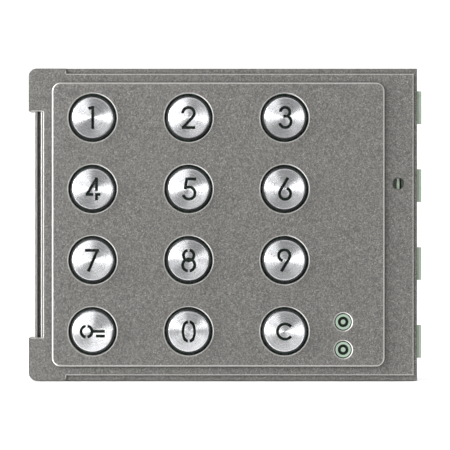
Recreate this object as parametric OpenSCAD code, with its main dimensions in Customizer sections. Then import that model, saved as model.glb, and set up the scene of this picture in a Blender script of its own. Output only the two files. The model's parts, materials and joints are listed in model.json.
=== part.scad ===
// Keypad access reader: one module of a door entry panel, with twelve metal keys.
//
// Frame: +X right, +Z up, the keys face -Y. The origin is the centre of the rear
// mounting face. Every shape is drawn in a "facing" frame, where x is right, y is up
// and z is the distance from the mounting face towards the person at the door.

/* [Cover] */
// Width of the cover, over the hinge ears
cover_w = 113; // [112.6:0.2:113.4]
// Height of the cover, just under one module pitch of 91 mm
cover_h = 90.8; // [90.8:0.1:91.2]
// Distance from the mounting face to the key faces
depth = 27; // [27:0.5:30]
// Wall thickness of the cast cover
wall = 2.0; // [1.8:0.1:2.1]
// How far the keypad panel stands above the flange round it
panel_raise = 1.8; // [1.2:0.1:2]
// Corner radius of the keypad panel
panel_r = 2.5; // [2:0.1:3]
// Radius of the rounded edge along the keypad panel
panel_edge_r = 0.5; // [0.4:0.1:0.6]
// Step down from the flange to the rim strip
rim_drop = 1.0; // [0.6:0.1:1.2]

/* [Keys] */
// Distance between key columns
key_pitch_x = 27.85; // [27.75:0.05:27.95]
// Distance between key rows
key_pitch_z = 20.65; // [20.55:0.05:20.75]
// Diameter of the holes that the keys move in
key_hole_d = 14.1; // [14:0.1:14.4]
// Diameter of a key's face
key_face_d = 11.7; // [11.4:0.1:11.8]
// Diameter of the collar at a key's foot
key_collar_d = 12.8; // [12.6:0.1:12.9]
// How far a key's face stands above the keypad panel
key_proud = 2.0; // [1.5:0.1:2.2]
// How far a key travels when it is pressed
key_travel = 1.2; // [0.8:0.1:1.3]
// Width of the stencil lines cut through a key's face
stroke_w = 0.85; // [0.75:0.05:0.9]

/* [Latch] */
// How far the latch tabs stand out of the right edge
tab_reach = 1.5; // [1.2:0.1:1.6]
// Height of one latch tab
tab_h = 9.6; // [9:0.1:10]
// Distance between latch tabs
tab_pitch = 22.75; // [22.5:0.05:23]
// How far the latch strip slides back
latch_travel = 1.6; // [1.4:0.1:1.8]

/* [Rear mounting] */
// Distance between the mounting holes across the width
mount_x = 84; // [80:1:86]
// Distance between the mounting holes over the height
mount_z = 40; // [36:1:42]
// Diameter of the blind mounting holes
mount_d = 2.9; // [2.5:0.1:3.1]

/* [Hidden] */
$fn = 48;
EPS = 0.01;
CUT = 1; // how far a cutting shape runs past the face it opens

KEY_NAMES = ["1", "2", "3", "4", "5", "6", "7", "8", "9", "enter", "0", "clear"];
KEY_COLUMNS = 3;
KEY_COUNT = len(KEY_NAMES);

// Places across the width, measured from the centre of the mounting face.
right_x = cover_w / 2;
ear_left_x = -cover_w / 2;
rail_left_x = ear_left_x + 1.7;
rail_lip_w = 0.8;
rail_groove_w = 1.1;
rail_edge_x = rail_left_x + rail_lip_w + rail_groove_w;
rail_edge_w = 0.5;
rim_start_x = ear_left_x + 10.9;
rim_side_w = 1.1;
rim_end_w = 1.6;
panel_left_x = -49.6;
panel_right_x = 46.9;
panel_half_h = 41.2;
ear_r = 2.3;
ear_end_z = 32.9;
key_first_x = -37.82;
lens_x = 34.9;
lens_zs = [-28.25, -36.3];

// Distances from the mounting face.
panel_front = depth - key_proud;
flange_front = panel_front - panel_raise;
flange_back = flange_front - wall;
panel_back = panel_front - wall;
skirt_foot = 12.0;
gasket_t = 1.0;
housing_lip_t = 1.5;
housing_lip_front = skirt_foot - gasket_t;
housing_front = 14.4;
board_t = 1.6;
board_front = 12.6;
board_back = board_front - board_t;

// The key, from its face back to its contact.
key_skin = 0.6;
key_edge_r = 0.35;
collar_front = depth - 3.4;
collar_t = 1.5;
collar_slope = 0.12; // how far the collar's front falls from its root to its rim
collar_back = collar_front - collar_t;
cap_bore_r = key_face_d / 2 - key_skin;
core_front = collar_front + 1.0;
core_flange_r = 7.9;
core_flange_t = 0.8;
key_stop_gap = 0.5;
guide_t = 2.2;
guide_front = collar_back - core_flange_t - key_travel - key_stop_gap;
guide_back = guide_front - guide_t;
core_stem_r = 3.5;
guide_clearance = 0.05;
guide_screw_r = 0.95;
guide_boss_r = 2.6;
hole_ring_w = 1.2;
hole_ring_back = collar_back + 0.1;
hole_chamfer = 0.25;
mat_t = 1.0;
dome_foot_r = 5.6;
dome_top_r = 3.6;
dome_cone_h = 1.8;
dome_wall = 0.9;
dome_roof_t = 1.7;
pill_r = 2.0;
pill_t = 0.6;
contact_gap = key_travel + 0.1;
dome_top = board_front + contact_gap + pill_t + dome_roof_t;
led_dx = 8.0;

// The status lenses.
lens_r = 2.25;
lens_gap = 0.3;
lens_ring_in_r = 1.55;
lens_pin_r = 0.7;
lens_well = 2.5;
lens_stem_r = 1.6;
lens_foot_r = 3.4;
lens_foot_half_h = 2.65;
lens_foot_t = 1.2;
lens_recess = 0.3;
lens_stem_back = board_front + 1.8;

// The latch strip and what holds it.
carrier_left_x = 46.4;
carrier_wall = 0.6;
strip_left_x = carrier_left_x + carrier_wall + latch_travel;
strip_right_x = 54.2;
strip_half_h = 40.4;
strip_t = 2.2;
strip_back = guide_back;
strip_front = strip_back + strip_t;
tab_t = 2.0;
tab_zs = [for (i = [-1.5 : 1 : 1.5]) i * tab_pitch];
release_x = 51.0;
release_z = 11.9;
release_d = 3.4;
release_skin = 0.8;
release_pocket_d = 5.4;
rib_w = 0.8;
rib_h = 3.2;
slit_w = 0.55;
notch_depth = 3.6;
notch_h = 5.6;
notch_zs = [-tab_pitch, 0, tab_pitch];
carrier_t = 1.6;
carrier_gap = 0.2;
carrier_front = strip_back - carrier_gap;
carrier_back = carrier_front - carrier_t;
spring_t = 0.25;
spring_w = 1.6;

// The rear housing.
housing_left_x = -51.2;
housing_right_x = 54.2;
housing_half_h = 42.9;
housing_wall = 2.0;
floor_t = 2.0;
housing_r = 2.0;
lip_left_x = -54.4;
lip_right_x = 56.1;
lip_half_h = 45.1;
case_screw_xs = [-47.0, 43.0];
case_screw_z = 39.0;
case_post_r = 3.4;
case_boss_r = 2.8;
case_boss_back = housing_front + 0.1;
case_screw_r = 1.45;
screw_head_r = 2.7;
screw_head_t = 1.9;
screw_sink = 2.4;
pilot_clearance = 0.05;
bay_left_x = -20.0;
bay_right_x = 20.0;
bay_top_z = -26.0;
bay_wall = 1.2;
mount_post_r = 3.4;
mount_depth = 7.0;
rear_chamfer = 0.8;
label_half_w = 18.0;
label_low_z = -17.0;
label_high_z = 9.0;
label_depth = 0.3;
ejector_r = 2.2;
ejector_depth = 0.15;
ejector_places = [[-36, -34], [36, -34], [-47, 2], [50, -8], [0, 36], [-38, 35], [34, 35]];

// The circuit board and its parts.
board_left_x = -48.6;
board_right_x = 45.4;
board_half_h = 40.4;
board_corner_r = 4.4;
board_screw_xs = [-24.0, 36.0];
board_screw_z = 6.0;
board_screw_r = 1.0;
board_post_r = 2.6;
terminal_ways = 6;
terminal_pitch = 5.08;
terminal_h = 8.6;
terminal_d = 9.6;
terminal_top_z = -27.6;
terminal_w = terminal_ways * terminal_pitch + 1.2;
wire_hole = 2.6;
socket_w = 16.0;
socket_h = 7.2;
socket_xs = [-24.0, 24.0];
socket_z = 22.0;
socket_clearance = 0.4;
socket_pins = 4;
socket_pin_pitch = 2.54;

// ---------------------------------------------------------------- helpers

// Turns a shape drawn in the facing frame to its place in the part's frame.
module facing() {
    rotate([90, 0, 0]) children();
}

// A flat rectangle between two corners, from one distance to another.
module slab(x0, y0, x1, y1, from, to) {
    translate([x0, y0, from]) cube([x1 - x0, y1 - y0, to - from]);
}

// A cylinder along the depth.
module rod(x, y, r, from, to) {
    translate([x, y, from]) cylinder(r = r, h = to - from);
}

// A flat plate with four equal round corners.
module round_plate(x0, y0, x1, y1, r, from, to) {
    slab(x0 + r, y0, x1 - r, y1, from, to);
    slab(x0, y0 + r, x1, y1 - r, from, to);
    for (x = [x0 + r, x1 - r], y = [y0 + r, y1 - r]) rod(x, y, r, from, to);
}

// Column and row of key i, counted from the top left.
function key_x(i) = key_first_x + (i % KEY_COLUMNS) * key_pitch_x;
function key_z(i) = (1.5 - floor(i / KEY_COLUMNS)) * key_pitch_z;

// Places one copy of its children at every key.
module at_keys() {
    for (i = [0 : KEY_COUNT - 1]) translate([key_x(i), key_z(i), 0]) children();
}

// Places its children at the guide plate's screws, between the key columns.
module at_guide_screws() {
    for (column = [0.5, 1.5], row = [-1.5, 0, 1.5])
        translate([key_first_x + column * key_pitch_x, row * key_pitch_z, 0]) children();
}

// Places its children at the four screws that hold the housing to the cover.
module at_case_screws() {
    for (x = case_screw_xs, s = [-1, 1]) translate([x, s * case_screw_z, 0]) children();
}

// ---------------------------------------------------------------- front cover

// The raised keypad panel, with a rounded edge along its front.
module panel_block() {
    hull()
        for (x = [panel_left_x + panel_r, panel_right_x - panel_r],
             y = [-panel_half_h + panel_r, panel_half_h - panel_r])
            translate([x, y, 0]) {
                rod(0, 0, panel_r, flange_front - EPS, panel_front - panel_edge_r);
                translate([0, 0, panel_front - panel_edge_r])
                    rotate_extrude($fn = 32)
                        translate([panel_r - panel_edge_r, 0])
                            circle(panel_edge_r, $fn = 32);
            }
}

// The flange and the side walls, before anything is cut from them.
module cover_block() {
    slab(rail_left_x, -cover_h / 2, right_x, cover_h / 2, skirt_foot, flange_front);
    for (s = [-1, 1]) {
        ear_in = min(s * ear_end_z, s * (cover_h / 2 - ear_r));
        ear_out = max(s * ear_end_z, s * (cover_h / 2 - ear_r));
        slab(ear_left_x, ear_in, rail_left_x + CUT, ear_out, skirt_foot, flange_front);
        rod(ear_left_x + ear_r, s * (cover_h / 2 - ear_r), ear_r, skirt_foot, flange_front);
    }
}

// The square corner outside an ear's round corner.
module ear_corner_cut(s) {
    translate([ear_left_x + ear_r, s * (cover_h / 2 - ear_r), skirt_foot - CUT])
        difference() {
            translate([-ear_r - CUT, s > 0 ? 0 : -ear_r - CUT, 0])
                cube([ear_r + CUT, ear_r + CUT, depth]);
            translate([0, 0, -CUT]) cylinder(r = ear_r, h = depth + 2 * CUT);
        }
}

// The step down to the rim strip, along the top, the right side and the bottom.
module rim_step_cut() {
    step = flange_front - rim_drop;
    for (s = [0, 1]) mirror([0, s, 0])
        slab(rim_start_x, cover_h / 2 - rim_end_w, right_x + CUT, cover_h / 2 + CUT,
             step, depth);
    slab(right_x - rim_side_w, -cover_h / 2 - CUT, right_x + CUT, cover_h / 2 + CUT,
         step, depth);
}

// The long groove between the ears, where the panel frame's hinge bar lies.
module rail_cut() {
    groove = flange_front - 2.6;
    lip = flange_front - 0.7;
    edge = flange_front - 0.35;
    line = 0.2;
    slab(rail_left_x - CUT, -ear_end_z, rail_left_x + rail_lip_w, ear_end_z, lip, depth);
    slab(rail_left_x + rail_lip_w - EPS, -ear_end_z, rail_edge_x, ear_end_z, groove, depth);
    slab(rail_edge_x - EPS, -ear_end_z, rail_edge_x + rail_edge_w, ear_end_z, edge, depth);
    slab(rail_edge_x + rail_edge_w - EPS, -ear_end_z, rail_edge_x + rail_edge_w + line,
         ear_end_z, edge - line, depth);
}

// The hollow behind the flange and the deeper one behind the panel.
module cover_hollow() {
    slab(housing_left_x - 0.3, -housing_half_h - 0.3, right_x - wall, housing_half_h + 0.3,
         skirt_foot - CUT, flange_back);
    slab(panel_left_x + wall, -panel_half_h + wall, panel_right_x - wall,
         panel_half_h - wall, flange_back - CUT, panel_back);
}

// The rings and bosses on the back of the cover.
module cover_bosses() {
    at_keys() rod(0, 0, key_hole_d / 2 + hole_ring_w, hole_ring_back, panel_back + CUT);
    at_guide_screws() rod(0, 0, guide_boss_r, guide_front, panel_back + CUT);
    at_case_screws() rod(0, 0, case_boss_r, case_boss_back, flange_back + CUT);
    slab(strip_right_x - 1.4, -strip_half_h, strip_right_x - 0.6, strip_half_h,
         strip_front + 0.2, flange_back + EPS);
}

// A hole with a small chamfer at the front face.
module chamfered_hole(r, from, face) {
    rod(0, 0, r, from, face + CUT);
    translate([0, 0, face - hole_chamfer])
        cylinder(r1 = r, r2 = r + hole_chamfer + CUT, h = hole_chamfer + CUT);
}

module front_cover() {
    color([0.54, 0.54, 0.52]) facing() difference() {
        union() {
            difference() {
                union() {
                    cover_block();
                    panel_block();
                }
                for (s = [-1, 1]) ear_corner_cut(s);
                rim_step_cut();
                rail_cut();
                cover_hollow();
            }
            cover_bosses();
        }
        at_keys() chamfered_hole(key_hole_d / 2, hole_ring_back - CUT, panel_front);
        for (z = lens_zs)
            translate([lens_x, z, 0])
                chamfered_hole(lens_r + lens_gap, flange_back - CUT, panel_front);
        rod(release_x, release_z, release_d / 2, flange_back - CUT, depth);
        rod(release_x, release_z, release_pocket_d / 2, flange_back - CUT,
            flange_front - release_skin);
        for (z = tab_zs)
            slab(right_x - wall - CUT, z - tab_h / 2 - 0.3, right_x + CUT,
                 z + tab_h / 2 + 0.3, strip_back - 0.2, strip_back + tab_t + 0.2);
        at_guide_screws()
            rod(0, 0, guide_screw_r + pilot_clearance, guide_front - CUT, panel_back - 0.4);
        at_case_screws()
            rod(0, 0, case_screw_r + pilot_clearance, case_boss_back - CUT, flange_back - 0.4);
    }
}

// ---------------------------------------------------------------- keys

// How far a stencil line runs past the skin: its own amount, so no two end in one plane.
function line_over(size) = CUT * (1 + size / 25);

// A straight stencil line from a to b, square at both ends.
module bar(a, b) {
    run = b - a;
    over = line_over(norm(run));
    translate([a[0], a[1], depth - key_skin - over])
        rotate(atan2(run[1], run[0]))
            translate([0, -stroke_w / 2, 0])
                cube([norm(run), stroke_w, key_skin + 2 * over]);
}

// A curved stencil line of radius r round c, from angle a0 through the angle sweep.
module arc(c, r, a0, sweep, wide = stroke_w) {
    over = line_over(sweep / 20 - r);
    translate([c[0], c[1], depth - key_skin - over])
        rotate(a0)
            rotate_extrude(angle = sweep)
                translate([r - wide / 2, 0])
                    square([wide, key_skin + 2 * over]);
}

// A ring with one bridge left at the angle a.
module open_ring(c, r, a, bridge) {
    gap = asin(bridge / 2 / r);
    arc(c, r, a + gap, 360 - 2 * gap);
}

// A curved line and its mirror image across x = 0, with bridges left between the two.
module split_ring(c, r, bridge) {
    gap = asin(bridge / 2 / r);
    for (side = [0, 1]) mirror([side, 0, 0]) arc(c, r, -90 + gap, 180 - 2 * gap);
}

module glyph_1() {
    bar([0.15, -3.3], [0.15, 3.35]);
    bar([-1.1, 2.6], [0.3, 2.95]);
}

module glyph_2() {
    arc([0, 1.22], 1.68, -36, 216);
    bar([1.47, 0.38], [-1.55, -2.88]);
    bar([-1.95, -2.9], [1.95, -2.9]);
}

module glyph_3() {
    arc([0.12, 1.57], 1.37, -72, 250);
    arc([0.18, -1.18], 1.68, -166, 238);
    bar([-0.4, 0.36], [0.95, 0.36]);
}

module glyph_4() {
    stem_x = 1.25;
    bar_z = -1.6;
    bar([stem_x, -0.6], [stem_x, 3.3]);
    bar([stem_x, 3.0], [-1.55, bar_z]);
    bar([-1.9, bar_z], [0.3, bar_z]);
    bar([0.8, bar_z], [2.4, bar_z]);
    bar([stem_x, bar_z], [stem_x, -3.3]);
}

module glyph_5() {
    arc([0.15, -1.2], 1.74, -162, 290);
    bar([-0.8, 2.87], [2.25, 2.87]);
    bar([-0.45, 3.15], [-1.0, -0.12]);
}

module glyph_6() {
    arc([0.12, -1.38], 1.62, 148, 285);
    bar([0.97, 3.25], [-1.35, -0.6]);
}

module glyph_7() {
    bar([-2.1, 2.85], [1.95, 2.85]);
    bar([1.55, 2.95], [-1.15, -3.3]);
}

module glyph_8() {
    bridge = 0.58;
    open_ring([0.07, 1.38], 1.52, 90, bridge);
    open_ring([0.07, -1.38], 1.75, -90, bridge);
}

module glyph_9() {
    rotate(180) glyph_6();
}

// An oval of four tangent arcs, bridged at its top and bottom.
module glyph_0() {
    half_w = 1.7;
    end_r = 1.45;
    end_z = 1.35;
    bridge = 0.5;
    lap = 3;
    side_w = stroke_w - 0.08;
    side_r = (end_z * end_z + half_w * half_w - end_r * end_r) / (2 * (half_w - end_r));
    meet = atan2(end_z, side_r - half_w);
    gap = asin(bridge / 2 / end_r);
    translate([0.1, 0, 0]) for (side = [0, 1]) mirror([side, 0, 0]) {
        arc([half_w - side_r, 0], side_r, -meet - lap, 2 * (meet + lap), side_w);
        arc([0, end_z], end_r, meet, 90 - gap - meet);
        arc([0, -end_z], end_r, -90 + gap, 90 - gap - meet);
    }
}

module glyph_clear() {
    arc([0.12, 0], 2.2, 38, 284);
}

// A key laid on its side: a bridged ring, a shaft and a shorter line under it.
module glyph_enter() {
    ring_x = -1.65;
    translate([ring_x, 0, 0]) split_ring([0, 0], 1.6, 0.5);
    bar([ring_x + 1.6, 0.05], [3.65, 0.05]);
    bar([1.05, -1.3], [3.65, -1.3]);
}

module glyph(i) {
    if (i == 0) glyph_1();
    if (i == 1) glyph_2();
    if (i == 2) glyph_3();
    if (i == 3) glyph_4();
    if (i == 4) glyph_5();
    if (i == 5) glyph_6();
    if (i == 6) glyph_7();
    if (i == 7) glyph_8();
    if (i == 8) glyph_9();
    if (i == 9) glyph_enter();
    if (i == 10) glyph_0();
    if (i == 11) glyph_clear();
}

// A turned metal cup with a rounded face edge, a collar and the cut symbol.
module key_cap(i) {
    color([0.9, 0.9, 0.92]) facing() translate([key_x(i), key_z(i), 0]) difference() {
        rotate_extrude() difference() {
            union() {
                translate([0, collar_back])
                    square([key_face_d / 2, depth - key_edge_r - collar_back]);
                square_r = key_face_d / 2 - key_edge_r;
                translate([0, collar_back]) square([square_r, depth - collar_back]);
                translate([square_r, depth - key_edge_r]) intersection() {
                    circle(key_edge_r);
                    square(key_edge_r);
                }
                polygon([[0, collar_back], [key_collar_d / 2, collar_back],
                         [key_collar_d / 2, collar_front - collar_slope],
                         [key_face_d / 2 - key_edge_r, collar_front]]);
            }
            translate([-CUT, collar_back - CUT])
                square([cap_bore_r + CUT, depth - key_skin - collar_back + CUT]);
        }
        glyph(i);
    }
}

// The green plunger: a plug in the cap, a flange behind the panel and a guided stem.
module key_core(i) {
    color([0.15, 0.32, 0.2]) facing() translate([key_x(i), key_z(i), 0]) {
        rod(0, 0, cap_bore_r - 0.05, collar_back - core_flange_t, core_front);
        rod(0, 0, core_flange_r, collar_back - core_flange_t, collar_back);
        rod(0, 0, core_stem_r, dome_top, collar_back - core_flange_t);
    }
}

// The carbon pill that bridges the board's contact when the key is down.
module contact_pill(i) {
    color([0.08, 0.08, 0.08]) facing() translate([key_x(i), key_z(i), 0])
        rod(0, 0, pill_r, dome_top - dome_roof_t - pill_t, dome_top - dome_roof_t);
}

// ---------------------------------------------------------------- behind the keys

module silicone_key_mat() {
    cone_back = dome_top - dome_cone_h - 0.8;
    color([0.75, 0.77, 0.78]) facing() difference() {
        union() {
            slab(key_x(0) - 9.5, -1.5 * key_pitch_z - 8, key_x(2) + 9.5,
                 1.5 * key_pitch_z + 8, board_front, board_front + mat_t);
            at_keys() {
                translate([0, 0, board_front + mat_t])
                    cylinder(r1 = dome_foot_r, r2 = dome_top_r, h = dome_cone_h);
                rod(0, 0, dome_top_r, cone_back, dome_top);
            }
        }
        at_case_screws() rod(0, 0, board_corner_r, board_front - CUT, dome_top);
        rod(board_screw_xs[0], board_screw_z, 2.3, board_front - CUT, dome_top);
        at_keys() {
            translate([0, 0, board_front - EPS])
                cylinder(r1 = dome_foot_r - dome_wall, r2 = dome_top_r - dome_wall,
                         h = dome_top - dome_roof_t - board_front + EPS);
            slab(led_dx - 1.6, -1.4, led_dx + 1.6, 1.4, board_front - CUT, dome_top);
        }
    }
}

module key_guide_plate() {
    color([0.32, 0.52, 0.38]) facing() difference() {
        slab(panel_left_x + wall + 0.4, -39.0, carrier_left_x - 0.6, 39.0,
             guide_back, guide_front);
        at_keys() rod(0, 0, core_stem_r + guide_clearance, guide_back - CUT, guide_front + CUT);
        for (z = lens_zs)
            rod(lens_x, z, lens_stem_r + guide_clearance, guide_back - CUT, guide_front + CUT);
        at_guide_screws()
            rod(0, 0, guide_screw_r + pilot_clearance, guide_back - CUT, guide_front + CUT);
        at_case_screws()
            rod(0, 0, case_boss_r + 0.4, guide_back - CUT, guide_front + CUT);
    }
}

// A pan head screw, its head towards the mounting face, with a cross recess.
module screw(r, head_r, head_t, head_back, tip) {
    slot_w = head_r * 0.3;
    slot_l = head_r * 1.3;
    difference() {
        union() {
            rod(0, 0, head_r, head_back, head_back + head_t);
            rod(0, 0, r, head_back + head_t - EPS, tip);
        }
        for (turn = [0, 90])
            rotate(turn)
                slab(-slot_l / 2, -slot_w / 2, slot_l / 2, slot_w / 2, head_back - CUT,
                     head_back + head_t * 0.55);
    }
}

module guide_plate_screws() {
    color([0.7, 0.7, 0.72]) facing()
        at_guide_screws()
            screw(guide_screw_r, 1.9, 1.2, guide_back - 1.2, panel_back - 0.8);
}

// A light pipe with a ring, a dark well and a centre pin on its face. Its foot has two flats.
module status_lens(z) {
    lens_front = panel_front - lens_recess;
    foot_back = panel_back - lens_foot_t - 0.1;
    color([0.62, 0.78, 0.66]) facing() translate([lens_x, z, 0]) difference() {
        union() {
            rod(0, 0, lens_r, foot_back, lens_front);
            intersection() {
                rod(0, 0, lens_foot_r, foot_back, foot_back + lens_foot_t);
                slab(-lens_foot_r, -lens_foot_half_h, lens_foot_r, lens_foot_half_h,
                     foot_back - CUT, foot_back + lens_foot_t + CUT);
            }
            rod(0, 0, lens_stem_r, lens_stem_back, foot_back + EPS);
        }
        difference() {
            rod(0, 0, lens_ring_in_r, lens_front - lens_well, lens_front + CUT);
            rod(0, 0, lens_pin_r, lens_front - lens_well - CUT, lens_front - 0.25);
        }
    }
}

// ---------------------------------------------------------------- latch

// The sliding strip with its four tabs, the screwdriver rib and the slit beside it.
module latch_strip() {
    tab_tip_x = right_x + tab_reach;
    tab_edge = 0.5;
    color([0.58, 0.7, 0.62]) facing() difference() {
        union() {
            slab(strip_left_x, -strip_half_h, strip_right_x, strip_half_h,
                 strip_back, strip_front);
            for (z = tab_zs)
                slab(strip_right_x - EPS, z - tab_h / 2, tab_tip_x, z + tab_h / 2,
                     strip_back, strip_back + tab_t);
            slab(release_x - rib_w / 2, release_z - rib_h / 2, release_x + rib_w / 2,
                 release_z + rib_h / 2, strip_front - EPS, flange_back - 0.3 + release_skin);
        }
        slab(release_x + rib_w / 2, release_z - rib_h / 2, release_x + rib_w / 2 + slit_w,
             release_z + rib_h / 2, strip_back - CUT, depth);
        for (z = notch_zs)
            slab(strip_left_x - CUT, z - notch_h / 2, strip_left_x + notch_depth,
                 z + notch_h / 2, strip_back - CUT, strip_front + CUT);
        for (z = tab_zs)
            translate([tab_tip_x, z, strip_back + tab_t])
                rotate([90, 45, 0])
                    cube([tab_edge * 2, tab_edge * 2, tab_h + 2 * CUT], center = true);
    }
}

// The shelf behind the strip, with a wall that the springs push against.
module latch_carrier() {
    color([0.13, 0.13, 0.13]) facing() {
        slab(carrier_left_x, -39.8, strip_right_x, 39.8, carrier_back, carrier_front);
        slab(carrier_left_x, -34.6, carrier_left_x + carrier_wall, 34.6, carrier_front - EPS,
             strip_front);
        slab(housing_right_x - housing_wall, -39.8, housing_right_x, 39.8, housing_front,
             carrier_back + EPS);
    }
}

// Round leaf springs, open on one side, between the shelf's wall and the strip.
module latch_springs() {
    spring_d = strip_left_x + notch_depth - carrier_left_x - carrier_wall;
    opening = 60;
    color([0.75, 0.75, 0.77]) facing()
        for (z = notch_zs)
            translate([carrier_left_x + carrier_wall + spring_d / 2, z, strip_back + 0.3])
                rotate(90 + opening / 2)
                    rotate_extrude(angle = 360 - opening)
                        translate([spring_d / 2 - spring_t, 0]) square([spring_t, spring_w]);
}

// ---------------------------------------------------------------- electronics

module cover_gasket() {
    color([0.1, 0.1, 0.1]) facing() difference() {
        slab(lip_left_x, -lip_half_h, lip_right_x, lip_half_h, housing_lip_front, skirt_foot);
        slab(housing_left_x - 0.1, -housing_half_h - 0.1, housing_right_x + 0.1,
             housing_half_h + 0.1, housing_lip_front - CUT, skirt_foot + CUT);
    }
}

module circuit_board() {
    pad_t = 0.05;
    color([0.1, 0.32, 0.18]) facing() difference() {
        union() {
            slab(board_left_x, -board_half_h, board_right_x, board_half_h,
                 board_back, board_front);
            at_keys() rod(0, 0, pill_r + 0.4, board_front - EPS, board_front + pad_t);
        }
        at_case_screws() rod(0, 0, board_corner_r, board_back - CUT, board_front + CUT);
        for (x = board_screw_xs)
            rod(x, board_screw_z, board_screw_r + 0.1, board_back - CUT, board_front + CUT);
    }
}

module chip(x, y, w, h, t) {
    slab(x - w / 2, y - h / 2, x + w / 2, y + h / 2, board_front, board_front + t);
}

module rear_chip(x, y, w, h, t) {
    slab(x - w / 2, y - h / 2, x + w / 2, y + h / 2, board_back - t, board_back);
}

module backlight_leds() {
    color([0.95, 0.95, 0.85]) facing() at_keys() chip(led_dx, 0, 2.0, 1.4, 0.8);
}

module status_leds() {
    color([0.9, 0.95, 0.9]) facing() for (z = lens_zs) chip(lens_x, z, 2.4, 2.0, 1.2);
}

module microcontroller() {
    pin_pitch = 0.8;
    pins = 8;
    body = 7.0;
    color([0.12, 0.12, 0.13]) facing() {
        rear_chip(0, 8, body, body, 1.2);
        for (side = [0 : 3])
            translate([0, 8, 0]) rotate(side * 90)
                for (i = [0 : pins - 1])
                    translate([(i - (pins - 1) / 2) * pin_pitch, 0, 0])
                        slab(-0.17, body / 2 - EPS, 0.17, body / 2 + 1.0,
                             board_back - 0.25, board_back);
    }
}

module lock_relay() {
    color([0.15, 0.2, 0.42]) facing() rear_chip(-32, -8, 7.4, 15.2, 8.2);
}

module smoothing_capacitors() {
    color([0.2, 0.2, 0.24]) facing() {
        rod(34, -4, 3.15, board_back - 7.2, board_back);
        rod(34, -13, 3.15, board_back - 7.2, board_back);
    }
}

module small_board_parts() {
    color([0.45, 0.38, 0.3]) facing() {
        rear_chip(13, -8, 5.0, 4.0, 1.6);
        rear_chip(14, 6, 4.0, 4.0, 3.0);
        for (i = [0 : 4]) {
            rear_chip(-16, -14 + i * 4, 2.0, 1.25, 0.6);
            rear_chip(-10 + i * 4, -18, 2.0, 1.25, 0.6);
        }
        for (i = [0 : 3]) chip(41, 20 - i * 7, 1.25, 2.0, 0.6);
    }
}

// A ribbon cable socket that faces the rear, with two rows of pin holes.
module ribbon_socket(x) {
    hole = 0.9;
    color([0.88, 0.87, 0.8]) facing() difference() {
        slab(x - socket_w / 2, socket_z - socket_h / 2, x + socket_w / 2,
             socket_z + socket_h / 2, 0.6, board_back);
        for (i = [0 : socket_pins - 1], row = [-0.5, 0.5])
            translate([x + (i - (socket_pins - 1) / 2) * socket_pin_pitch,
                       socket_z + row * socket_pin_pitch, 0.6 - CUT])
                translate([-hole / 2, -hole / 2, 0]) cube([hole, hole, CUT + 6]);
        slab(x - 1.5, socket_z + socket_h / 2 - 0.8, x + 1.5, socket_z + socket_h / 2 + CUT,
             -CUT, 4);
    }
}

function way_x(i) = (i - (terminal_ways - 1) / 2) * terminal_pitch;

// Wires enter from below, and the screws face the rear.
module terminal_block() {
    top = terminal_top_z;
    foot = top - terminal_h;
    back = board_back - terminal_d;
    color([0.2, 0.45, 0.3]) facing() difference() {
        slab(-terminal_w / 2, foot, terminal_w / 2, top, back, board_back);
        for (i = [0 : terminal_ways - 1]) {
            slab(way_x(i) - wire_hole / 2, foot - CUT, way_x(i) + wire_hole / 2, foot + 6,
                 back + 4.6, back + 4.6 + wire_hole);
            rod(way_x(i), top - 3.6, 2.0, back - CUT, back + 3.4);
        }
    }
}

module terminal_screws() {
    back = board_back - terminal_d + 1.0;
    color([0.78, 0.77, 0.72]) facing()
        for (i = [0 : terminal_ways - 1])
            difference() {
                rod(way_x(i), terminal_top_z - 3.6, 1.85, back, back + 2.4);
                translate([way_x(i), terminal_top_z - 3.6, back - CUT]) rotate(20 * i)
                    translate([-2, -0.3, 0]) cube([4, 0.6, CUT + 0.9]);
            }
}

module board_screws() {
    color([0.7, 0.7, 0.72]) facing()
        for (x = board_screw_xs)
            translate([x, board_screw_z, board_front + board_back]) mirror([0, 0, 1])
                screw(board_screw_r, 1.9, 1.3, board_back - 1.3, board_front + 5);
}

// ---------------------------------------------------------------- rear housing

// The chamfer along the four rear edges of the housing.
module rear_edge_cut() {
    side = rear_chamfer * sqrt(2);
    for (x = [housing_left_x, housing_right_x])
        translate([x, 0, 0]) rotate([0, 45, 0])
            cube([side, 2 * housing_half_h + 2 * CUT, side], center = true);
    for (s = [-1, 1])
        translate([0, s * housing_half_h, 0]) rotate([45, 0, 0])
            cube([2 * housing_right_x + 2 * CUT, side, side], center = true);
}

// The shallow places that moulding leaves on the rear face: a blank label bed and pin marks.
module rear_face_marks() {
    slab(-label_half_w, label_low_z, label_half_w, label_high_z, -CUT, label_depth);
    for (p = ejector_places) rod(p[0], p[1], ejector_r, -CUT, ejector_depth);
}

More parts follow.
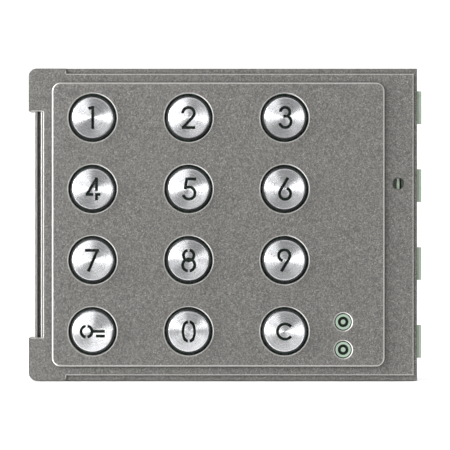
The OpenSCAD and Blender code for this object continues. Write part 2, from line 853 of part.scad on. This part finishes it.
module rear_housing() {
    color([0.12, 0.12, 0.13]) facing() difference() {
        union() {
            difference() {
                union() {
                    round_plate(housing_left_x, -housing_half_h, housing_right_x,
                                housing_half_h, housing_r, 0, housing_front);
                    slab(lip_left_x, -lip_half_h, lip_right_x, lip_half_h,
                         housing_lip_front - housing_lip_t, housing_lip_front);
                }
                slab(housing_left_x + housing_wall, -housing_half_h + housing_wall,
                     housing_right_x - housing_wall, housing_half_h - housing_wall,
                     floor_t, housing_front + CUT);
            }
            at_case_screws() rod(0, 0, case_post_r, floor_t - EPS, case_boss_back - 0.1);
            for (x = [-mount_x / 2, mount_x / 2], y = [-mount_z / 2, mount_z / 2])
                rod(x, y, mount_post_r, floor_t - EPS, mount_depth + 1.6);
            for (x = board_screw_xs)
                rod(x, board_screw_z, board_post_r, floor_t - EPS, board_back);
            slab(bay_left_x - bay_wall, -housing_half_h + 1, bay_right_x + bay_wall,
                 bay_top_z + bay_wall, floor_t - EPS, board_back - 0.2);
        }
        rear_edge_cut();
        rear_face_marks();
        slab(bay_left_x, -housing_half_h - EPS, bay_right_x, bay_top_z, -CUT, board_back);
        for (x = socket_xs)
            slab(x - socket_w / 2 - socket_clearance, socket_z - socket_h / 2 - socket_clearance,
                 x + socket_w / 2 + socket_clearance, socket_z + socket_h / 2 + socket_clearance,
                 -CUT, floor_t + CUT);
        at_case_screws() {
            rod(0, 0, screw_head_r + 0.2, -CUT, screw_sink);
            rod(0, 0, case_screw_r + 0.15, 0, depth);
        }
        for (x = [-mount_x / 2, mount_x / 2], y = [-mount_z / 2, mount_z / 2])
            rod(x, y, mount_d / 2, -CUT, mount_depth);
        for (x = board_screw_xs)
            rod(x, board_screw_z, board_screw_r + pilot_clearance, floor_t + 2, board_back + CUT);
    }
}

module housing_screws() {
    color([0.7, 0.7, 0.72]) facing()
        at_case_screws()
            screw(case_screw_r, screw_head_r, screw_head_t, screw_sink - screw_head_t,
                  flange_back - 1.2);
}

// ---------------------------------------------------------------- the assembly

front_cover();
for (i = [0 : KEY_COUNT - 1]) {
    key_cap(i);
    key_core(i);
    contact_pill(i);
}
silicone_key_mat();
key_guide_plate();
guide_plate_screws();
status_lens(lens_zs[0]);  // status_lens_upper
status_lens(lens_zs[1]);  // status_lens_lower
latch_strip();
latch_carrier();
latch_springs();
cover_gasket();
circuit_board();
backlight_leds();
status_leds();
microcontroller();
lock_relay();
smoothing_capacitors();
small_board_parts();
ribbon_socket(socket_xs[0]);  // line_in_socket
ribbon_socket(socket_xs[1]);  // line_out_socket
terminal_block();
terminal_screws();
board_screws();
rear_housing();
housing_screws();
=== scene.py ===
"""The looks of the keypad access reader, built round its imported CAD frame.

Metres, +Z up, the keys face -Y. Sizes of patterns, edges and bumps are given in millimetres.
"""
import json
import math

import bmesh
import bpy
from mathutils import Matrix, Vector


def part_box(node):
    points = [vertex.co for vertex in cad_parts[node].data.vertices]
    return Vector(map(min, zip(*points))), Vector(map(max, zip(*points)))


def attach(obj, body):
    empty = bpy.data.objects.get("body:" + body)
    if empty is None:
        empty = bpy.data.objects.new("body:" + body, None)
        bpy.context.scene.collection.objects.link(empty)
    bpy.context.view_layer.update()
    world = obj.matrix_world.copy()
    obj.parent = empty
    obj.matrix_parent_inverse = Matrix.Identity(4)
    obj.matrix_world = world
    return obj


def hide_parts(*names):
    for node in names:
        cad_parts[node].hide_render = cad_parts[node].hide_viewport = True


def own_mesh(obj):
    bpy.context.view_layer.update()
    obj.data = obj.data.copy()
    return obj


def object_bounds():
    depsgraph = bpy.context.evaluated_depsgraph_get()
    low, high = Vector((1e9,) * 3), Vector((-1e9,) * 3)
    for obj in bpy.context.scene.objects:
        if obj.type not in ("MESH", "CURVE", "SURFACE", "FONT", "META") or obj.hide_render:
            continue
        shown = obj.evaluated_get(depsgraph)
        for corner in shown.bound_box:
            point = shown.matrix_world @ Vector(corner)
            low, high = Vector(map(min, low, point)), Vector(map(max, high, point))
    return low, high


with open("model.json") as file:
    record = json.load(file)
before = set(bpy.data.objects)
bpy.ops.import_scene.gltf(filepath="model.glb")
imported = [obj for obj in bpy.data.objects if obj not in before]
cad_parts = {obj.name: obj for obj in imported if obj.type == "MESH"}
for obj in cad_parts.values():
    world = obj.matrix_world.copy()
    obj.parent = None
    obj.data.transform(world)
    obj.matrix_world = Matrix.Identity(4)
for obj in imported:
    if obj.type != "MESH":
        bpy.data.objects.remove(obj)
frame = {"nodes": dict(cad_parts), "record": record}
CAD_BOX = [list(corner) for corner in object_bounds()]
NODES = frame["nodes"]
MM = 0.001
ROOT = "module_body"
WELD = 0.002 * MM                           # corners closer than this are one corner

PANEL_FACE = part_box("front_cover")[0].y     # the front of the cover's raised panel
RELEASE_HOLE = (51.0 * MM, 0, 11.9 * MM)    # the axis of the small hole over the latch strip's rib
COLLAR = 5.92 * MM                          # where a cap's face ends and its collar starts, which is rougher and painted dark as shade in the gap round the face
CAP_DOME = 16.0                             # how fast a cap's face falls away from its middle, 1/m
CAP_LEAN = 0.035                            # how far a cap's highlight leans to one side
CAP_TURN = 2.4                              # from one cap's lean to the next one's, in radians

# Sockets of a Mix node that mixes colours
MIX_FACTOR, MIX_A, MIX_B, MIX_RESULT = 0, 6, 7, 2


# ------------------------------------------------------------------ material tools

class Finish:
    """One procedural material: a Principled shader with patterns in object space."""

    def __init__(self, name, color, rough, **sockets):
        self.material = bpy.data.materials.new(name)
        self.material.use_nodes = True
        self.tree = self.material.node_tree
        self.tree.nodes.clear()
        self.out = self.new("ShaderNodeOutputMaterial")
        self.shader = self.new("ShaderNodeBsdfPrincipled")
        self.link(self.shader.outputs[0], self.out.inputs["Surface"])
        self.space = self.new("ShaderNodeTexCoord").outputs["Object"]
        self.set("Base Color", (*color, 1))
        self.set("Roughness", rough)
        for socket, value in sockets.items():
            self.set(socket.replace("_", " "), value)

    def new(self, kind, **settings):
        node = self.tree.nodes.new(kind)
        for key, value in settings.items():
            setattr(node, key, value)
        return node

    def link(self, source, target):
        self.tree.links.new(source, target)

    def put(self, node, socket, value):
        """Links a pattern to a node's socket, or sets the socket to a constant."""
        if hasattr(value, "links"):
            self.link(value, node.inputs[socket])
        else:
            node.inputs[socket].default_value = value

    def set(self, socket, value):
        self.put(self.shader, socket, value)

    def math(self, operation, a, b):
        node = self.new("ShaderNodeMath", operation=operation)
        self.put(node, 0, a)
        self.put(node, 1, b)
        return node.outputs[0]

    def blend(self, a, b, share):
        """The sum of two patterns, of which the first makes up this share."""
        return self.math("ADD", self.math("MULTIPLY", a, share), self.math("MULTIPLY", b, 1 - share))

    def span(self, value, low, high, out_low=0.0, out_high=1.0):
        """Maps low to high onto out_low to out_high, and stays within them."""
        node = self.new("ShaderNodeMapRange", clamp=True)
        for index, number in enumerate((value, low, high, out_low, out_high)):
            self.put(node, index, number)
        return node.outputs[0]

    def mix(self, factor, a, b):
        node = self.new("ShaderNodeMix", data_type="RGBA")
        self.put(node, MIX_FACTOR, factor)
        for socket, color in ((MIX_A, a), (MIX_B, b)):
            self.put(node, socket, (*color, 1) if isinstance(color, tuple) else color)
        return node.outputs[MIX_RESULT]

    def vector(self, operation, a, b=(0, 0, 0)):
        node = self.new("ShaderNodeVectorMath", operation=operation)
        self.put(node, 0, a)
        self.put(node, 1, b)
        return node

    def scaled(self, x, y, z):
        """Object space for a pattern that is drawn out along the axes with a factor under 1."""
        return self.vector("MULTIPLY", self.space, (x, y, z)).outputs[0]

    def axes(self, value):
        """The X, Y and Z of a vector."""
        node = self.new("ShaderNodeSeparateXYZ")
        self.link(value, node.inputs[0])
        return node.outputs

    def noise(self, size, detail=2.0, rough=0.55, space=None, distortion=0.0):
        node = self.new("ShaderNodeTexNoise")
        self.link(space or self.space, node.inputs["Vector"])
        node.inputs["Scale"].default_value = 1 / (size * MM)
        node.inputs["Detail"].default_value = detail
        node.inputs["Roughness"].default_value = rough
        node.inputs["Distortion"].default_value = distortion
        return node.outputs["Fac"]

    def cells(self, size, feature="F1", randomness=1.0):
        node = self.new("ShaderNodeTexVoronoi", feature=feature)
        self.link(self.space, node.inputs["Vector"])
        node.inputs["Scale"].default_value = 1 / (size * MM)
        node.inputs["Randomness"].default_value = randomness
        return node

    def bump(self, height, depth, normal=None):
        node = self.new("ShaderNodeBump")
        node.inputs["Strength"].default_value = 1.0
        node.inputs["Distance"].default_value = depth * MM
        self.link(height, node.inputs["Height"])
        if normal is not None:
            self.link(normal, node.inputs["Normal"])
        return node.outputs[0]

    def rounded(self, radius, samples=6):
        """The surface's normal as if its edges had this radius."""
        node = self.new("ShaderNodeBevel", samples=samples)
        node.inputs["Radius"].default_value = radius * MM
        return node.outputs[0]

    def edge(self, radius):
        """1 along outside and inside edges, 0 on open surfaces."""
        rounded = self.rounded(radius, samples=4)
        normal = self.new("ShaderNodeNewGeometry").outputs["Normal"]
        likeness = self.vector("DOT_PRODUCT", rounded, normal).outputs["Value"]
        return self.span(self.math("SUBTRACT", 1.0, likeness), 0.03, 0.3)

    def covered(self, reach, low, high, inside):
        """How much of its surroundings the piece itself takes up, from low to high."""
        node = self.new("ShaderNodeAmbientOcclusion", samples=8, inside=inside, only_local=True)
        node.inputs["Distance"].default_value = reach * MM
        return self.span(self.math("SUBTRACT", 1.0, node.outputs["AO"]), low, high)

    def crest(self, reach, low, high):
        """1 along outside edges only, where the solid is thin under the surface."""
        return self.covered(reach, low, high, inside=True)

    def corner_shade(self, reach, low, high):
        """1 deep in corners and holes of the piece itself, where little light gets in; it marks where shade
        is painted.
        """
        return self.covered(reach, low, high, inside=False)


def inside_box(f, node, none, whole):
    """0 within a distance of the node's outline as the keys' side sees it, 1 further in."""
    low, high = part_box(node)
    place = f.axes(f.space)
    depths = []
    for axis in (0, 2):
        depths.append(f.math("SUBTRACT", place[axis], low[axis]))
        depths.append(f.math("SUBTRACT", high[axis], place[axis]))
    nearest = f.math("MINIMUM", f.math("MINIMUM", *depths[:2]), f.math("MINIMUM", *depths[2:]))
    return f.span(nearest, none * MM, whole * MM)


def from_axis(f, centre):
    """The way out to a place from an axis that runs front to back, as a vector with no depth."""
    return f.vector("MULTIPLY", f.vector("SUBTRACT", f.space, centre).outputs[0], (1, 0, 1)).outputs[0]


def length(f, vector):
    return f.vector("LENGTH", vector).outputs["Value"]


# ------------------------------------------------------------------ finishes

def plain(name, color, rough, grain, depth, variation, edge=0.0, **sockets):
    """A moulded or cast finish: broad colour drift, fine grain, uneven gloss and edges lightened by the
    factor edge.
    """
    f = Finish(name, color, rough, **sockets)
    drift = f.noise(9.0, 3.0)
    fine = f.noise(grain, 3.0, 0.6)
    light = tuple(min(1.0, c * (1 + variation) + 0.004) for c in color)
    dark = tuple(c * (1 - variation) for c in color)
    base = f.mix(f.blend(drift, fine, 0.6), dark, light)
    if edge:
        lighter_edge = tuple(min(1.0, c * 1.5 + 0.03) for c in color)
        base = f.mix(f.math("MULTIPLY", f.edge(0.18), edge), base, lighter_edge)
    f.set("Base Color", base)
    glossy, matt = max(0.03, rough - 0.1), min(1.0, rough + 0.1)
    f.set("Roughness", f.span(f.noise(3.0, 4.0, 0.6), 0.3, 0.7, glossy, matt))
    f.set("Normal", f.bump(fine, depth))
    return f


def cover_paint():
    """Grey paint over a sand textured casting, with light and dark metal flakes in it.

    It has a painted highlight along the cover's edges, whiter where they face left and weaker where they
    face up, and painted shade in its corners.
    """
    f = Finish("cover_paint", (0.16, 0.157, 0.15), 0.5)
    sand = f.noise(0.24, 2.0, 0.6)
    clump = f.noise(0.5, 2.0, 0.5)
    drift = f.noise(24.0, 2.0, 0.5)
    flakes = f.new("ShaderNodeSeparateColor")
    f.link(f.cells(0.3).outputs["Color"], flakes.inputs[0])
    base = f.mix(flakes.outputs[2], (0.045, 0.043, 0.0405), (0.146, 0.143, 0.135))
    base = f.mix(f.span(sand, 0.35, 0.65, 0.0, 0.3), base, (0.118, 0.115, 0.109))
    base = f.mix(f.span(flakes.outputs[0], 0.86, 1.0, 0.0, 0.4), base, (0.34, 0.33, 0.31))
    base = f.mix(f.span(flakes.outputs[1], 0.86, 1.0, 0.0, 0.45), base, (0.045, 0.043, 0.04))
    base = f.mix(f.span(drift, 0.35, 0.65, 0.0, 0.12), base, (0.11, 0.107, 0.10))

    soft = f.rounded(0.28)
    facing = f.axes(soft)
    sunk = f.math("SUBTRACT", f.axes(f.space)[1], PANEL_FACE)
    below_face = f.span(sunk, 0.02 * MM, 0.07 * MM)
    above_step = f.span(sunk, 0.34 * MM, 0.46 * MM, 1.0, 0.0)
    shoulder = f.math("MULTIPLY", below_face, above_step)
    # painted highlight: a light line along the cover's outside edges and the panel's shoulder, patchy with
    # the sand, weaker where edges face up, kept off the outline and the release hole
    lighter_edge = f.math("MAXIMUM", f.crest(0.24, 0.03, 0.16), shoulder)
    lighter_edge = f.math("MULTIPLY", lighter_edge, f.span(sand, 0.25, 0.5, 0.75, 0.95))
    lighter_edge = f.math("MULTIPLY", lighter_edge, f.span(facing[2], 0.06, 0.35, 1.0, 0.62))
    lighter_edge = f.math("MULTIPLY", lighter_edge, inside_box(f, "front_cover", 0.5, 0.9))
    off_hole = f.span(length(f, from_axis(f, RELEASE_HOLE)), 1.9 * MM, 2.3 * MM)
    lighter_edge = f.math("MULTIPLY", lighter_edge, off_hole)
    # the painted highlight's colour: near white on edges that face left toward the lights, grey on edges
    # that face right
    edge_highlight_color = f.mix(f.span(facing[0], -0.35, -0.06), (0.92, 0.915, 0.90), (0.52, 0.51, 0.49))
    # painted shade: the cover's corners, steps and hole walls are coloured near black
    base = f.mix(f.corner_shade(0.9, 0.15, 0.6), base, (0.032, 0.031, 0.029))
    base = f.mix(lighter_edge, base, edge_highlight_color)
    f.set("Base Color", base)
    f.set("Metallic", 0.2)

    matt = f.span(f.blend(sand, clump, 0.5), 0.3, 0.7, 0.36, 0.6)
    f.set("Roughness", f.math("SUBTRACT", matt, f.math("MULTIPLY", lighter_edge, 0.16)))
    f.set("Normal", f.bump(f.blend(sand, clump, 0.7), 0.032, soft))
    return f


def turned_metal(name, centre, lean):
    """A cap face turned on a lathe: rings about its own axis, a faint dome, stretched highlights."""
    f = Finish(name, (0.9, 0.9, 0.91), 0.3, Metallic=1.0, Anisotropic=0.95)
    flat = from_axis(f, tuple(centre))
    radius = length(f, flat)
    f.set("Tangent", f.vector("NORMALIZE", flat).outputs[0])
    along = f.new("ShaderNodeCombineXYZ")
    f.link(radius, along.inputs[0])
    rings = f.noise(0.2, 3.0, 0.7, space=along.outputs[0])
    wide = f.noise(1.3, 2.0, 0.5, space=along.outputs[0])
    grain = f.noise(0.3, 2.0, 0.6)
    face = f.mix(f.blend(rings, grain, 0.5), (0.74, 0.75, 0.79), (0.97, 0.97, 0.975))
    collar = f.span(radius, COLLAR - 0.06 * MM, COLLAR + 0.02 * MM)
    # painted shade: the collar round the face is coloured near black
    f.set("Base Color", f.mix(collar, face, (0.13, 0.135, 0.14)))
    turned = f.span(f.blend(rings, wide, 0.6), 0.35, 0.65, 0.2, 0.36)
    f.set("Roughness", f.math("ADD", turned, f.math("MULTIPLY", collar, 0.2)))
    geometry = f.new("ShaderNodeNewGeometry").outputs["Normal"]
    tilt = f.vector("MULTIPLY", flat, (CAP_DOME, 0, CAP_DOME)).outputs[0]
    domed = f.vector("ADD", geometry, f.vector("ADD", tilt, lean).outputs[0])
    f.set("Normal", f.bump(rings, 0.008, f.vector("NORMALIZE", domed.outputs[0]).outputs[0]))
    return f


def cap_metal(node, number):
    """The metal of one cap. Each was finished at its own angle, so no two highlights are alike."""
    low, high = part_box(node)
    turn = CAP_TURN * number
    lean = (CAP_LEAN * math.cos(turn), 0, CAP_LEAN * math.sin(turn))
    return turned_metal("key_metal_" + node.removeprefix("key_cap_"), (low + high) / 2, lean)


def clear_green(name, color, deep, rough, subsurface, rim=1.25, well=None):
    """A tinted moulding: light sinks in, and the tint drifts. Along its edges the colour moves toward its
    colour times the factor rim: below 1 that paints shade on the edges, above 1 it makes them lighter.

    Behind the depth well, its sunk middle is painted near black as shade down the well.
    """
    f = Finish(name, color, rough, Subsurface_Weight=subsurface, Subsurface_Scale=1.2 * MM, IOR=1.5)
    f.shader.inputs["Subsurface Radius"].default_value = (0.35, 1.0, 0.5)
    flow = f.noise(4.0, 3.0, 0.5, space=f.scaled(1, 1, 0.35), distortion=0.6)
    fine = f.noise(0.3, 2.0, 0.6)
    base = f.mix(f.span(flow, 0.3, 0.7), deep, color)
    # edges times rim: painted shade on the lens and latch strip (rim under 1), lighter edges on the others
    base = f.mix(f.math("MULTIPLY", f.edge(0.2), 0.5), base, tuple(min(1.0, c * rim) for c in color))
    if well is not None:
        # painted shade: from 0.3 to 0.7 mm behind the lens's front, the lens is coloured near black green
        sunk = f.span(f.axes(f.space)[1], well + 0.3 * MM, well + 0.7 * MM, 0.0, 0.94)
        base = f.mix(sunk, base, (0.006, 0.022, 0.012))
    f.set("Base Color", base)
    f.set("Roughness", f.span(f.noise(1.6, 3.0), 0.3, 0.7, rough - 0.06, rough + 0.1))
    f.set("Normal", f.bump(fine, 0.003))
    return f


def moulded_black():
    """Black plastic with pits and grain, flow marks and slightly lighter edges."""
    f = Finish("black_plastic", (0.03, 0.031, 0.033), 0.55)
    pits = f.cells(0.42, feature="SMOOTH_F1").outputs["Distance"]
    fine = f.noise(0.2, 3.0, 0.65)
    flow = f.noise(16.0, 3.0, 0.5, space=f.scaled(1, 1, 0.4), distortion=0.8)
    base = f.mix(fine, (0.021, 0.022, 0.024), (0.046, 0.047, 0.05))
    base = f.mix(f.span(flow, 0.4, 0.7, 0.0, 0.35), base, (0.052, 0.052, 0.055))
    base = f.mix(f.math("MULTIPLY", f.edge(0.2), 0.5), base, (0.11, 0.11, 0.115))
    f.set("Base Color", base)
    f.set("Roughness", f.span(f.blend(flow, fine, 0.5), 0.3, 0.7, 0.42, 0.66))
    f.set("Normal", f.bump(f.blend(pits, fine, 0.6), 0.03, f.rounded(0.3)))
    return f


def plated(name, color, rough):
    """Plated metal: bright with dull clouds and a fine grain."""
    f = Finish(name, color, rough, Metallic=1.0)
    fine = f.noise(0.25, 3.0, 0.65)
    cloud = f.noise(1.5, 3.0, 0.5)
    dull = tuple(c * 0.72 for c in color)
    f.set("Base Color", f.mix(f.span(cloud, 0.35, 0.7), color, dull))
    f.set("Roughness", f.span(f.blend(fine, cloud, 0.5), 0.3, 0.7, rough - 0.1, rough + 0.14))
    f.set("Normal", f.bump(fine, 0.006))
    return f


def board_laminate():
    """Solder resist over a weave, with the faint relief of copper under it."""
    f = Finish("board_laminate", (0.015, 0.12, 0.045), 0.35)
    weave = f.new("ShaderNodeTexWave", wave_type="BANDS", bands_direction="DIAGONAL")
    f.link(f.space, weave.inputs["Vector"])
    weave.inputs["Scale"].default_value = 1 / (3.0 * MM)
    copper = f.cells(2.2, feature="DISTANCE_TO_EDGE", randomness=0.25).outputs["Distance"]
    track = f.span(copper, 0.05, 0.1)
    base = f.mix(track, (0.03, 0.19, 0.07), (0.012, 0.095, 0.037))
    f.set("Base Color", f.mix(f.math("MULTIPLY", weave.outputs["Fac"], 0.15), base, (0.04, 0.16, 0.06)))
    f.set("Roughness", f.span(f.noise(2.0), 0.3, 0.7, 0.25, 0.45))
    f.set("Normal", f.bump(track, 0.02))
    return f


FINISHES = {
    "cover_paint": cover_paint(),
    "core_green": clear_green("core_green", (0.010, 0.034, 0.018), (0.005, 0.018, 0.009), 0.24, 0.03),
    "guide_green": clear_green("guide_green", (0.07, 0.2, 0.1), (0.04, 0.13, 0.06), 0.3, 0.2),
    "lens_green": clear_green("lens_green", (0.27, 0.34, 0.275), (0.20, 0.27, 0.21), 0.22, 0.08,
                              rim=0.6, well=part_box("status_lens_upper")[0].y),
    "latch_green": clear_green("latch_green", (0.31, 0.37, 0.30), (0.25, 0.31, 0.24), 0.3, 0.15, rim=0.55),
    "black_plastic": moulded_black(),
    "board_laminate": board_laminate(),
    "screw_steel": plated("screw_steel", (0.60, 0.61, 0.63), 0.28),
    "spring_steel": plated("spring_steel", (0.56, 0.56, 0.58), 0.22),
    "terminal_metal": plated("terminal_metal", (0.66, 0.64, 0.58), 0.26),
    "carbon": plain("carbon", (0.02, 0.02, 0.02), 0.7, grain=0.3, depth=0.01, variation=0.12),
    "silicone": plain("silicone", (0.62, 0.64, 0.65), 0.45, grain=0.5, depth=0.006, variation=0.06,
                      Subsurface_Weight=0.3, Subsurface_Scale=2.0 * MM),
    "gasket_rubber": plain("gasket_rubber", (0.022, 0.022, 0.023), 0.8, grain=0.35, depth=0.06,
                           variation=0.25),
    "led_resin": plain("led_resin", (0.80, 0.76, 0.42), 0.2, grain=0.4, depth=0.004, variation=0.05,
                       Coat_Weight=0.5),
    "chip_resin": plain("chip_resin", (0.02, 0.02, 0.022), 0.6, grain=0.2, depth=0.01, variation=0.2,
                        edge=0.4),
    "relay_case": plain("relay_case", (0.03, 0.06, 0.22), 0.35, grain=0.3, depth=0.008, variation=0.1,
                        edge=0.4),
    "capacitor_can": plain("capacitor_can", (0.08, 0.08, 0.10), 0.35, grain=0.5, depth=0.006, variation=0.1),
    "ceramic_parts": plain("ceramic_parts", (0.30, 0.22, 0.15), 0.5, grain=0.2, depth=0.008, variation=0.2,
                           edge=0.4),
    "socket_ivory": plain("socket_ivory", (0.66, 0.62, 0.50), 0.38, grain=0.3, depth=0.008, variation=0.06,
                          edge=0.4, Subsurface_Weight=0.1, Subsurface_Scale=1.0 * MM),
    "terminal_case": plain("terminal_case", (0.03, 0.16, 0.065), 0.42, grain=0.25, depth=0.012,
                           variation=0.12, edge=0.5),
}

caps = 0
for part in frame["record"]["subparts"]:
    node, slot = part["node"], part["material_slot"]
    if slot == "key_metal":
        finish = cap_metal(node, caps)
        caps += 1
    else:
        finish = FINISHES[slot]
    mesh = NODES[node].data
    mesh.materials.clear()
    mesh.materials.append(finish.material)


# ------------------------------------------------------------------ objects and meshes

def mesh_data(name, mesh):
    """Closes a bmesh into mesh data of this name."""
    data = bpy.data.meshes.new(name)
    mesh.to_mesh(data)
    mesh.free()
    return data


def new_object(name, data):
    """A new object of this mesh, light or camera in the scene."""
    piece = bpy.data.objects.new(name, data)
    bpy.context.scene.collection.objects.link(piece)
    return piece


# ------------------------------------------------------------------ soft edges on the CAD pieces

def soften(node, width):
    """Breaks the CAD piece's sharp edges by a real small radius, as a cast edge has."""
    piece = NODES[node]
    weld = piece.modifiers.new("weld", "WELD")
    weld.merge_threshold = WELD
    planar = piece.modifiers.new("planar", "DECIMATE")
    planar.decimate_type = "DISSOLVE"
    planar.angle_limit = math.radians(0.4)
    round_over = piece.modifiers.new("round_over", "BEVEL")
    round_over.width = width * MM
    round_over.segments = 2
    round_over.limit_method = "ANGLE"
    round_over.angle_limit = math.radians(32)
    round_over.use_clamp_overlap = False
    round_over.harden_normals = False
    shade = piece.modifiers.new("shade", "WEIGHTED_NORMAL")
    shade.keep_sharp = False
    shade.weight = 60


soften("front_cover", 0.13)


# ------------------------------------------------------------------ the latch's springs, welded into one mesh

def leaf_springs():
    """The CAD springs as one welded mesh, fixed to the module body in place of the CAD node."""
    mesh = bmesh.new()
    mesh.from_mesh(NODES["latch_springs"].data)
    bmesh.ops.remove_doubles(mesh, verts=mesh.verts[:], dist=WELD)
    data = mesh_data("latch_leaf_springs", mesh)
    data.materials.append(FINISHES["spring_steel"].material)
    data.set_sharp_from_angle(angle=math.radians(35))
    springs = new_object("latch_leaf_springs", data)
    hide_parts("latch_springs")
    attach(springs, ROOT)
    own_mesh(springs)


leaf_springs()


# ------------------------------------------------------------------ studio

FRONT = CAD_BOX[0][1]
FLOOR_Z = CAD_BOX[0][2] - 0.2 * MM
CARD_SHADE = 0.16       # how grey the cards are that the keys reflect
DAYLIGHT = 0.9          # the strength of the even light from all round


def sweep(name, half_width, front, back, bend, height):
    """A seamless pale floor that curves up into a backdrop."""
    profile = [(front, FLOOR_Z), (back - bend, FLOOR_Z)]
    profile += [(back - bend + bend * math.sin(a), FLOOR_Z + bend * (1 - math.cos(a)))
                for a in [math.radians(step) for step in range(6, 91, 6)]]
    profile.append((back, height))
    mesh = bmesh.new()
    rows = [[mesh.verts.new((x, y, z)) for y, z in profile] for x in (-half_width, half_width)]
    for i in range(len(profile) - 1):
        mesh.faces.new((rows[0][i], rows[1][i], rows[1][i + 1], rows[0][i + 1])).smooth = True
    piece = new_object(name, mesh_data(name, mesh))
    paper = Finish("paper", (0.96, 0.96, 0.955), 0.75)
    tooth = paper.noise(1.2, 3.0)
    paper.set("Base Color", paper.mix(paper.noise(220.0), (0.95, 0.95, 0.947), (0.97, 0.97, 0.968)))
    paper.set("Normal", paper.bump(tooth, 0.02))
    piece.data.materials.append(paper.material)


def aim(place, target, axis):
    """The turn that points this axis of an object at the target."""
    return (Vector(target) - Vector(place)).to_track_quat(axis, "Y")


def softbox(name, place, target, size, power):
    """A rectangular studio light that points at the target."""
    light = bpy.data.lights.new(name, "AREA")
    light.shape = "RECTANGLE"
    light.size, light.size_y = size
    light.energy = power
    lamp = new_object(name, light)
    lamp.location = place
    lamp.rotation_euler = aim(place, target, "-Z").to_euler()
    return lamp


def glow(size, radiance):
    """The power that gives a softbox of this size this brightness."""
    width, height = size
    return radiance * math.pi * width * height


def flag(name, place, target, width, height):
    """A grey studio card that only shows in reflections."""
    mesh = bmesh.new()
    bmesh.ops.create_grid(mesh, x_segments=1, y_segments=1, size=0.5)
    card = new_object(name, mesh_data(name, mesh))
    facing = aim(place, target, "Z").to_matrix().to_4x4()
    card.matrix_world = Matrix.Translation(place) @ facing @ Matrix.Diagonal((width, height, 1, 1))
    cloth = Finish("flag_cloth", (CARD_SHADE,) * 3, 0.9)
    cloth.set("Base Color", cloth.mix(cloth.noise(2.0), (0.9 * CARD_SHADE,) * 3, (1.1 * CARD_SHADE,) * 3))
    card.data.materials.append(cloth.material)
    card.visible_camera = card.visible_diffuse = card.visible_shadow = card.visible_transmission = False


# Lights that the keys reflect: name, place, target, width and height, radiance
REFLECTED_BOXES = (
    ("left_box", (-0.47, -1.12, 0.0), (0, FRONT, 0), (0.5, 0.34), 4.5),
    ("right_box", (0.50, -1.12, 0.03), (0, FRONT, 0), (0.40, 0.3), 4.8),
    ("top_box", (-0.34, -1.08, 0.42), (0, FRONT, 0), (0.50, 0.36), 3.0),
    ("left_rim", (-0.85, -0.3, 0.14), (0, 0, 0), (0.34, 0.7), 11.0),
)

sweep("floor", half_width=4.0, front=-4.0, back=1.6, bend=0.6, height=3.0)
key_light = softbox("key_light", (-0.72, -0.78, 0.5), (0, 0, 0), (0.5, 0.6), power=11.0)
key_light.visible_glossy = False
for name, place, target, size, radiance in REFLECTED_BOXES:
    softbox(name, place, target, size, glow(size, radiance))
softbox("rear_light", (0.5, 0.8, 0.7), (0, 0, 0), (0.7, 0.7), power=7.0)
flag("room", (0, -1.5, 0), (0, FRONT, 0), 3.2, 3.2)
flag("floor_card", (0, -0.76, FLOOR_Z + 1.0 * MM), (0, -0.76, 1), 3.0, 1.4)

world = bpy.data.worlds.new("studio")
bpy.context.scene.world = world
world.use_nodes = True
world.node_tree.nodes["Background"].inputs["Color"].default_value = (1, 1, 1, 1)
world.node_tree.nodes["Background"].inputs["Strength"].default_value = DAYLIGHT

scene = bpy.context.scene
scene.view_settings.view_transform = "Standard"
scene.view_settings.look = "None"
scene.view_settings.exposure = 0.0

# ------------------------------------------------------------------ camera

VIEW_WIDTH = 130.8 * MM             # what the frame takes in at the cover's flange
DISTANCE = 900 * MM                 # from the camera to the flange
FLANGE = PANEL_FACE + 1.8 * MM      # the front of the cover's flange
EYE_X, EYE_Z = 0.61 * MM, -0.13 * MM

camera = bpy.data.cameras.new("camera")
camera.sensor_width = 36.0
camera.lens = camera.sensor_width * DISTANCE / VIEW_WIDTH
camera.clip_start, camera.clip_end = 0.01, 20
eye = new_object("camera", camera)
eye.location = (EYE_X, FLANGE - DISTANCE, EYE_Z)
eye.rotation_euler = (math.radians(90), 0, 0)
scene.camera = eye
